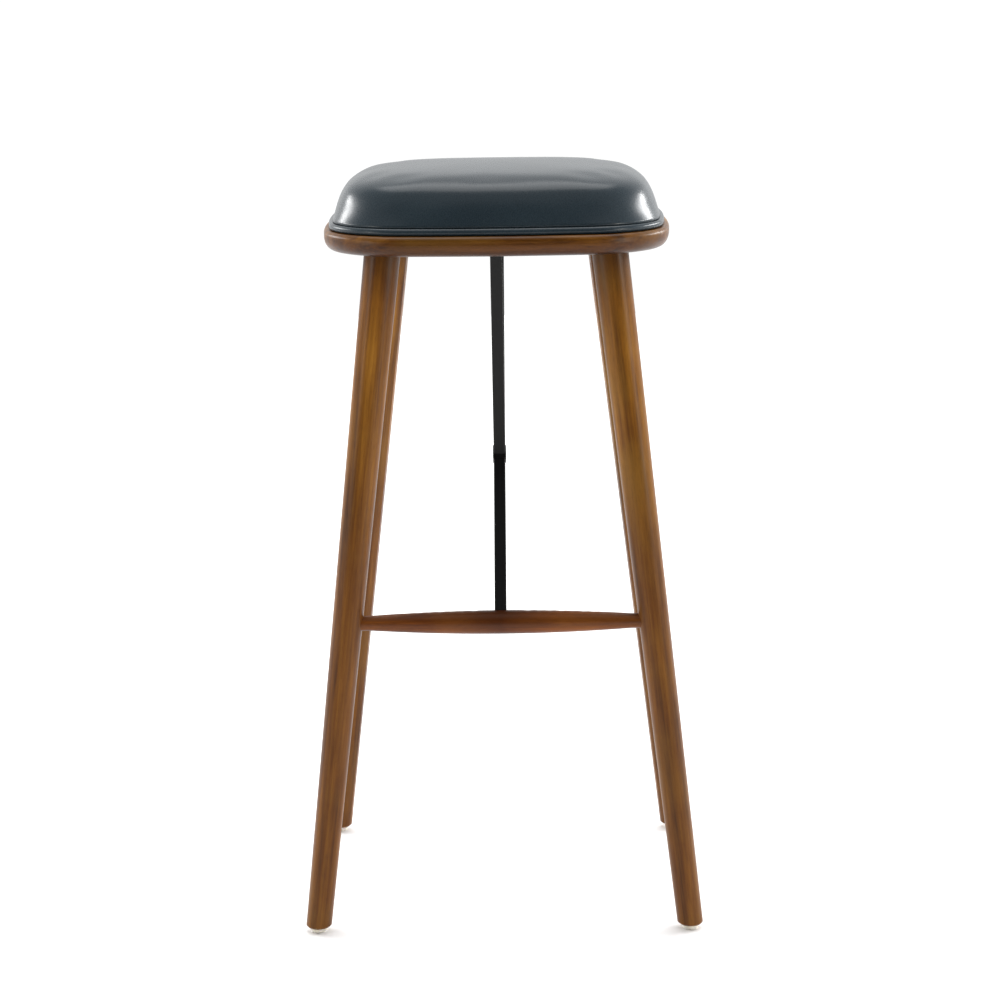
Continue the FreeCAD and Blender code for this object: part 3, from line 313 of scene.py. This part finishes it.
def plan_distance(turn):
    """Distance from the centre to the seat's plan at angles about z, and the plan's outward normal there. The
    plan is eight tangent arcs: a point is on a side arc while the side's circle is the nearer one there, and
    on the corner arc in between."""
    reach = SIDE_RADIUS - CORNER_RADIUS
    across, along = SIDE_RADIUS - half_width, SIDE_RADIUS - half_depth
    spread = math.hypot(across, along)
    rise = math.sqrt(reach ** 2 - (spread / 2) ** 2)
    corner = np.array([-across / 2 + rise * along / spread, -along / 2 + rise * across / spread])
    way = np.stack([np.cos(turn), np.sin(turn)], -1)
    mirror = np.where(way < 0, -1.0, 1.0)
    first = np.abs(way)

    def hit(centre, radius):
        """Where the ray along first leaves a circle: s = d.c + sqrt((d.c)^2 - c.c + r^2)."""
        dot = first @ centre
        return dot + np.sqrt(np.maximum(dot ** 2 - centre @ centre + radius ** 2, 0))

    circles = ((np.array([-across, 0.0]), SIDE_RADIUS), (np.array([0.0, -along]), SIDE_RADIUS),
               (corner, CORNER_RADIUS))
    far = np.stack([hit(centre, radius) for centre, radius in circles], -1)
    angle = np.arctan2(first[..., 1], first[..., 0])
    low = math.atan2(corner[1], corner[0] + across)
    high = math.atan2(corner[1] + along, corner[0])
    edge_low = np.array([-across, 0.0]) + SIDE_RADIUS * np.array([math.cos(low), math.sin(low)])
    edge_high = np.array([0.0, -along]) + SIDE_RADIUS * np.array([math.cos(high), math.sin(high)])
    part = np.where(angle < math.atan2(edge_low[1], edge_low[0]), 0,
                    np.where(angle > math.atan2(edge_high[1], edge_high[0]), 1, 2))
    distance = np.take_along_axis(far, part[..., None], -1)[..., 0]
    centres = np.stack([c for c, r in circles])[part]
    radii = np.array([r for c, r in circles])[part]
    normal = (first * distance[..., None] - centres) / radii[..., None]
    return distance, way, normal * mirror


def grid_mesh(name, points, floor=False, crown=False, ring=False):
    """A smooth piece over a grid of points (rows, columns, 3). Columns join round. The first row may be
    closed by a floor and the last by a crown, each fanned to the row's mean; a ring's rows join round too."""
    rows, columns = points.shape[:2]
    index = np.arange(rows * columns).reshape(rows, columns)
    after = np.roll(index, -1, 1)
    above, above_after = np.roll(index, -1, 0), np.roll(after, -1, 0)
    faces = np.stack([index, after, above_after, above], -1)[:rows if ring else -1].reshape(-1, 4).tolist()
    places = [points.reshape(-1, 3)]
    for wanted, row, pair in ((floor, 0, (after[0], index[0])), (crown, -1, (index[-1], after[-1]))):
        if wanted:
            middle = sum(map(len, places))
            places.append(points[row].mean(0)[None])
            faces += np.stack([*pair, np.full(columns, middle)], -1).tolist()
    mesh = bpy.data.meshes.new(name)
    mesh.from_pydata(np.vstack(places).tolist(), [], faces)
    mesh.shade_smooth()
    piece = bpy.data.objects.new(name, mesh)
    bpy.context.scene.collection.objects.link(piece)
    return piece


COLUMNS = 288
FOOT = wood_top + 7.8 * MM            # foot of the pad's side, down behind the welt
SIDE_INSET = base_high.x - cover_high.x   # that foot behind the wood's edge
CROWN = cover_high.z
GIVE = 1.3 * MM                       # how far tight leather bulges when it is stuffed
SWELL_STEPS = 20                      # frames of cloth motion that swell the pad


def side_profile(height, rows):
    """Share of the half width and height above the foot, at equal steps from the foot to the crown. With s
    from 1 to 0, the height is h = (1 - 0.13 s ^ 2) (1 - s ^ 9) ^ (1 / 9) of the full height, and the share
    is s (1 - 0.085 h)."""
    s = 1 - np.linspace(0, 1, 4000) ** 3
    h = (1 - 0.13 * s ** 2) * (1 - s ** 9) ** (1 / 9)
    share = s * (1 - 0.085 * h)
    step = np.hypot(np.diff(share) * half_width, np.diff(h) * height)
    travel = np.concatenate([[0], np.cumsum(step)])
    even = np.linspace(0, travel[-1], rows)
    return np.interp(even, travel, share), np.interp(even, travel, h) * height


def pad_rows(inset, foot, crown, rows):
    """Rows of points up the pad's side and over its top, each the plan at the foot scaled by the profile's
    share, without the last point at the crown."""
    distance, way, normal = plan_distance(np.linspace(0, 2 * np.pi, COLUMNS, endpoint=False))
    rim = way * distance[:, None] - normal * inset
    share, rise = side_profile(crown - foot, rows)
    flat = rim[None] * share[:-1, None, None]
    height = (foot + rise[:-1])[:, None, None]
    return np.concatenate([flat, np.broadcast_to(height, (*flat.shape[:2], 1))], -1)


def baked(piece):
    """The piece's mesh with its modifiers applied."""
    graph = bpy.context.evaluated_depsgraph_get()
    mesh = bpy.data.meshes.new_from_object(piece.evaluated_get(graph), depsgraph=graph)
    piece.modifiers.clear()
    piece.data = mesh
    return piece


def corners_of(mesh):
    """The mesh's points as rows of x, y and z."""
    place = np.empty(len(mesh.vertices) * 3, np.float32)
    mesh.vertices.foreach_get("co", place)
    return place.reshape(-1, 3)


def stuffed(name):
    """The pad blown up like a stuffed one: cloth over a slightly smaller closed blank, remeshed at 5 mm,
    with air pressure inside and its foot held. No point moves by more than the leather gives."""
    blank = grid_mesh(name, pad_rows(SIDE_INSET + 1.2 * MM, FOOT, CROWN - 1.5 * MM, 60), floor=True,
                      crown=True)
    remesh = blank.modifiers.new("even", "REMESH")
    remesh.mode, remesh.voxel_size = "VOXEL", 5 * MM
    baked(blank)
    start = corners_of(blank.data)
    held = blank.vertex_groups.new(name="held")
    held.add(np.flatnonzero(start[:, 2] < FOOT + 5 * MM).tolist(), 1.0, "REPLACE")
    cloth = blank.modifiers.new("leather", "CLOTH")
    cloth.settings.vertex_group_mass = "held"
    cloth.settings.use_pressure = True
    cloth.settings.uniform_pressure_force = 4
    cloth.settings.mass = 0.4
    cloth.settings.tension_stiffness = cloth.settings.compression_stiffness = 25
    cloth.settings.shear_stiffness = 12
    cloth.settings.bending_stiffness = 4
    cloth.settings.effector_weights.gravity = 0
    cloth.point_cache.frame_end = SWELL_STEPS
    for number in range(1, SWELL_STEPS + 1):
        bpy.context.scene.frame_set(number)
    baked(blank)
    bpy.context.scene.frame_set(1)
    moved = corners_of(blank.data) - start
    far = np.linalg.norm(moved, axis=1, keepdims=True)
    moved *= np.minimum(1, GIVE / np.maximum(far, 1e-9))
    blank.data.vertices.foreach_set("co", (start + moved).ravel())
    return blank


def made_up_pad():
    """Points and outward normals of the pad's outside, in rows from its foot to its crown, with the crown's
    own point last. It takes the stuffed blank's shape, evened out as leather pulled over foam is."""
    pad = grid_mesh("pad", pad_rows(SIDE_INSET, FOOT, CROWN, 84), crown=True)
    blown = stuffed("stuffed_blank")
    height = corners_of(pad.data)[:, 2]
    free = pad.vertex_groups.new(name="free")
    for share in (0.25, 0.5, 0.75, 1.0):
        free.add(np.flatnonzero(height > FOOT + 8 * MM * share).tolist(), share, "REPLACE")
    wrap = pad.modifiers.new("take_shape", "SHRINKWRAP")
    wrap.target, wrap.wrap_method, wrap.vertex_group = blown, "TARGET_PROJECT", "free"
    smooth = pad.modifiers.new("even_out", "SMOOTH")
    smooth.factor, smooth.iterations, smooth.vertex_group = 0.5, 70, "free"
    baked(pad)
    bpy.data.objects.remove(blown)
    outward = np.empty(len(pad.data.vertices) * 3, np.float32)
    pad.data.vertex_normals.foreach_get("vector", outward)
    place = corners_of(pad.data)
    bpy.data.objects.remove(pad)
    return place, outward.reshape(-1, 3)


def cut_foam(name):
    """Polyurethane foam: cream, matt, with open cells of about 1 mm."""
    material, shader = finish(name, Roughness=0.95)
    place = add(material, "TexCoord").outputs["Object"]
    cells = add(material, "TexVoronoi", {"Scale": 1 / (1.2 * MM)}, Vector=place).outputs["Distance"]
    tone = ramp(material, cells, (0.0, "cdbb86"), (0.6, "efe3bb"))
    material.node_tree.links.new(tone, shader.inputs["Base Color"])
    bump = add(material, "Bump", {"Strength": 0.4, "Distance": 0.6 * MM}, Height=cells)
    material.node_tree.links.new(bump.outputs[0], shader.inputs["Normal"])
    return material


pad_place, pad_outward = made_up_pad()
inside = (pad_place - pad_outward * (LEATHER + 0.4 * MM))[:-1].reshape(-1, COLUMNS, 3)
foam_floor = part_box("cushion_foam")[0].z
inside = inside[inside[..., 2].min(1) > foam_floor + 1 * MM]
foot_row = inside[:1].copy()
foot_row[..., 2] = foam_floor
foam = grid_mesh("domed_foam", np.concatenate([foot_row, inside]), floor=True, crown=True)
foam.data.materials.append(cut_foam("polyurethane_foam"))
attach(foam, "root")
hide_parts("cushion_foam")

# ---------------------------------------------------------------- cushion cover
# Navy cowhide with a smooth corrected grain, 1.2 mm thick, pulled over the foam and stapled under the
# board. It makes one crowned pad whose side tucks in behind the welt, with no seam on top.

WELT = 7 * MM
WELT_INSET = base_high.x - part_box("cushion_welt")[1].x + WELT / 2
BAND_INSET = WELT_INSET + WELT / 2 + 0.6 * MM   # leather behind the welt, down to the wood
TUCK = 25 * MM                        # leather turned in under the board


def skirt_rows():
    """Rows from the leather's turned-in edge under the board, out along the wood, up behind the welt and out
    to the foot of the side."""
    distance, way, normal = plan_distance(np.linspace(0, 2 * np.pi, COLUMNS, endpoint=False))
    corners = np.array([
        (BAND_INSET + TUCK, wood_top + 0.05 * MM), (BAND_INSET + 12 * MM, wood_top + 0.05 * MM),
        (BAND_INSET + 1 * MM, wood_top + 0.05 * MM), (BAND_INSET + 0.2 * MM, wood_top + 0.5 * MM),
        (BAND_INSET, wood_top + 3.5 * MM), (BAND_INSET - 0.1 * MM, FOOT - 1.2 * MM),
        (BAND_INSET - 0.7 * MM, FOOT - 0.5 * MM), (SIDE_INSET + 0.7 * MM, FOOT - 0.2 * MM)])
    flat = (way * distance[:, None])[None] - normal[None] * corners[:, 0, None, None]
    return np.concatenate([flat, np.broadcast_to(corners[:, 1, None, None], (*flat.shape[:2], 1))], -1)


def leather(name, dark, light, rough):
    """Chrome-tanned cowhide with a corrected grain: pigment and a thin satin film over pores of about
    0.9 mm, which only just break the reflections, and a slow drift of tone over a hand's width."""
    material, shader = finish(name, Roughness=rough, IOR=1.5, Specular_IOR_Level=0.27)
    place = add(material, "TexCoord").outputs["Object"]
    pebble = add(material, "TexVoronoi", {"feature": "SMOOTH_F1", "Scale": 1 / (0.9 * MM)}, Vector=place)
    slow = add(material, "TexNoise", {"Scale": 1 / (70 * MM), "Detail": 1}, Vector=place).outputs["Fac"]
    tone = ramp(material, slow, (0.1, dark), (0.9, light))
    material.node_tree.links.new(tone, shader.inputs["Base Color"])
    pores = pebble.outputs["Distance"]
    rougher = add(material, "MapRange", {"To Min": rough - 0.03, "To Max": rough + 0.06},
                  Value=pores).outputs[0]
    material.node_tree.links.new(rougher, shader.inputs["Roughness"])
    bump = add(material, "Bump", {"Strength": 0.06, "Distance": 0.1 * MM}, Height=pores)
    material.node_tree.links.new(bump.outputs[0], shader.inputs["Normal"])
    return material


skin = np.concatenate([skirt_rows(), pad_place[:-1].reshape(-1, COLUMNS, 3)])
cover = grid_mesh("cushion_leather_cover", skin, crown=True)
shell = cover.modifiers.new("thickness", "SOLIDIFY")
shell.thickness, shell.offset = LEATHER, -1
navy = leather("navy_corrected_grain_leather", "253037", "2f3b42", 0.27)
cover.data.materials.append(navy)
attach(cover, "root")
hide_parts("cushion_cover")

# ---------------------------------------------------------------- welt
# A strip of the same leather round a cotton cord, 7 mm thick, glued down on the wood all round the foot of
# the cushion. Its ends meet in a short slanting lap in the middle of the back.


def welt_shape():
    """A tube along the seat's plan, set in so that a strip of wood is left outside it. Its radius grows by
    0.3 mm times exp(-(d / 4 mm) ^ 2) over the lap, d being the distance from the slanting middle of the lap,
    and by a few hundredths of a millimetre here and there, as leather does over a twisted cord."""
    turn = np.linspace(0, 2 * np.pi, 432, endpoint=False)
    distance, way, normal = plan_distance(turn)
    line = way * distance[:, None] - normal * WELT_INSET
    round_it = np.linspace(0, 2 * np.pi, 24, endpoint=False)[:, None]
    reach, slant, spread = 170, 3, 4      # in mm: from the z axis to the lap, its slant, its half width
    lap = np.exp(-(((turn - np.pi / 2) * reach - slant * np.sin(round_it)) / spread) ** 2)
    radius = (WELT / 2 - 0.05 * MM + 0.02 * MM * np.sin(9 * turn + 1) + 0.02 * MM * np.sin(23 * turn)
              + 0.3 * MM * lap * (np.sin(round_it) > -0.2))
    flat = line[None] + normal[None] * (radius * np.cos(round_it))[..., None]
    low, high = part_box("cushion_welt")
    height = (low.z + high.z) / 2 + radius * np.sin(round_it)
    return np.concatenate([flat, height[..., None]], -1)


welt = grid_mesh("rolled_leather_welt", welt_shape(), ring=True)
welt.data.materials.append(navy)
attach(welt, "root")
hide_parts("cushion_welt")


def twisted_cotton(name):
    """Undyed cotton piping cord: cream, matt, with strands that slant round it every 2 mm."""
    material, shader = finish(name, Roughness=0.9)
    place = add(material, "TexCoord").outputs["Object"]
    strand = add(material, "TexWave", {"bands_direction": "DIAGONAL", "Scale": 1 / (2 * MM) / 6.28},
                 Vector=place)
    tone = ramp(material, strand.outputs["Fac"], (0.2, "c9bd9f"), (0.8, "ece3cb"))
    material.node_tree.links.new(tone, shader.inputs["Base Color"])
    bump = add(material, "Bump", {"Strength": 0.5, "Distance": 0.4 * MM}, Height=strand.outputs["Fac"])
    material.node_tree.links.new(bump.outputs[0], shader.inputs["Normal"])
    return material


paint(twisted_cotton("twisted_cotton_cord"), "welt_cord")

# ---------------------------------------------------------------- glides
# A moulded nylon disc under each leg, off-white, held by a nail through its middle.


def moulded_nylon(name):
    """Natural nylon: off-white and waxy, slightly see-through, with a faint matt mould texture."""
    material, shader = finish(name, Roughness=0.42, IOR=1.53, Subsurface_Weight=0.3, Subsurface_Scale=1.0,
                              Subsurface_Radius=(1.2 * MM, 1.0 * MM, 0.7 * MM))
    place = add(material, "TexCoord").outputs["Object"]
    speck = add(material, "TexNoise", {"Scale": 1 / (2 * MM), "Detail": 3}, Vector=place).outputs["Fac"]
    tone = ramp(material, speck, (0.3, "f0ebde"), (0.7, "f8f4ea"))
    material.node_tree.links.new(tone, shader.inputs["Base Color"])
    bump = add(material, "Bump", {"Strength": 0.1, "Distance": 0.05 * MM}, Height=speck)
    material.node_tree.links.new(bump.outputs[0], shader.inputs["Normal"])
    return material


paint(moulded_nylon("moulded_nylon"), "glide_front_left", "glide_front_right",
      "glide_rear_left", "glide_rear_right")

# ---------------------------------------------------------------- studio
# A pale floor and surround, a lit white wall behind, a black card behind the camera that keeps the fronts
# deep, a softbox and a strip light on each side, and a soft light from above. The camera stands 2.5 m in
# front, a little above the seat, with a long lens.

FLOOR_HALF = 150.0                    # half the floor's side


def floor_finish(name):
    """Pale matt paper, with a barely visible fibre mottling."""
    material, shader = finish(name, Roughness=0.9)
    place = add(material, "TexCoord").outputs["Object"]
    fibre = add(material, "TexNoise", {"Scale": 60, "Detail": 2}, Vector=place).outputs["Fac"]
    tone = ramp(material, fibre, (0.3, "fbfbfb"), (0.7, "fefefe"))
    material.node_tree.links.new(tone, shader.inputs["Base Color"])
    return material


def stage_plane(name, corners, material):
    """A flat stage piece with four corners, in the order that makes its front face out."""
    mesh = bpy.data.meshes.new(name)
    mesh.from_pydata(corners, [], [(0, 1, 2, 3)])
    mesh.materials.append(material)
    piece = bpy.data.objects.new(name, mesh)
    bpy.context.scene.collection.objects.link(piece)
    return piece


stage_plane("floor", [(FLOOR_HALF * x, FLOOR_HALF * y, 0) for x, y in ((-1, -1), (1, -1), (1, 1), (-1, 1))],
            floor_finish("pale_matt_paper"))

world = bpy.data.worlds.new("studio_air")
bpy.context.scene.world = world
world.use_nodes = True
world.node_tree.nodes["Background"].inputs["Color"].default_value = colour("fdfdff")
world.node_tree.nodes["Background"].inputs["Strength"].default_value = 0.6


def lamp(name, place, aim, size, radiance, tint="ffffff"):
    """A rectangular softbox of a given radiance that faces a point. Its watts are radiance x area x pi."""
    data = bpy.data.lights.new(name, "AREA")
    data.shape, (data.size, data.size_y) = "RECTANGLE", size
    data.energy = radiance * size[0] * size[1] * math.pi
    data.color = colour(tint)[:3]
    box = bpy.data.objects.new(name, data)
    box.location = place
    box.rotation_euler = (Vector(aim) - Vector(place)).to_track_quat("-Z", "Y").to_euler()
    box.visible_camera = False
    bpy.context.scene.collection.objects.link(box)


lamp("left_softbox", (-2.35, 1.13, 1.45), (0, 0, 0.7), (1.7, 0.35), 18.0)
lamp("right_softbox", (2.35, 1.13, 1.45), (0, 0, 0.7), (1.7, 0.35), 24.0)
lamp("left_strip", (-1.9, -1.2, 0.75), (0, 0, 0.6), (0.3, 0.5), 14.0, "fffaf0")
lamp("right_strip", (1.9, -1.2, 0.75), (0, 0, 0.6), (0.3, 0.5), 22.0, "fffaf0")


def card(name, across, away, height, facing, glow):
    """An upright card on the floor, at a distance along y, that faces the stool. It is black under its own
    white glow, and it casts no shadow."""
    half = across / 2 * facing
    material = finish(name, Roughness=0.9, Base_Color=colour("040404"), Emission_Color=colour("ffffff"),
                      Emission_Strength=glow)[0]
    corners = [(half, away, 0), (-half, away, 0), (-half, away, height), (half, away, height)]
    piece = stage_plane(name, corners, material)
    piece.visible_shadow = False
    return piece


card("lit_white_wall", 14, 4.6, 7.5, 1, 1.02)
card("black_card_behind_the_camera", 9, -2.95, 3.4, -1, 0.0).visible_camera = False

sun = bpy.data.lights.new("ceiling_bounce", "SUN")
sun.energy, sun.angle = 2.3, math.radians(54)
sky = bpy.data.objects.new("ceiling_bounce", sun)
sky.rotation_euler = (math.radians(-18), 0, 0)
bpy.context.scene.collection.objects.link(sky)
bpy.context.scene.view_settings.view_transform = "Standard"

EYE = Vector((0.0241, -2.4720, 0.9405))
DOWN, LEFT, ROLL = math.radians(11.97), math.radians(0.57), math.radians(0.75)
lens = bpy.data.cameras.new("camera")
lens.sensor_width, lens.lens = 36.0, 86.66
lens.clip_end = 1000
camera = bpy.data.objects.new("camera", lens)
camera.matrix_world = (Matrix.Translation(EYE) @ Matrix.Rotation(LEFT, 4, "Z")
                       @ Matrix.Rotation(math.pi / 2 - DOWN, 4, "X") @ Matrix.Rotation(-ROLL, 4, "Z"))
bpy.context.scene.collection.objects.link(camera)
bpy.context.scene.camera = camera
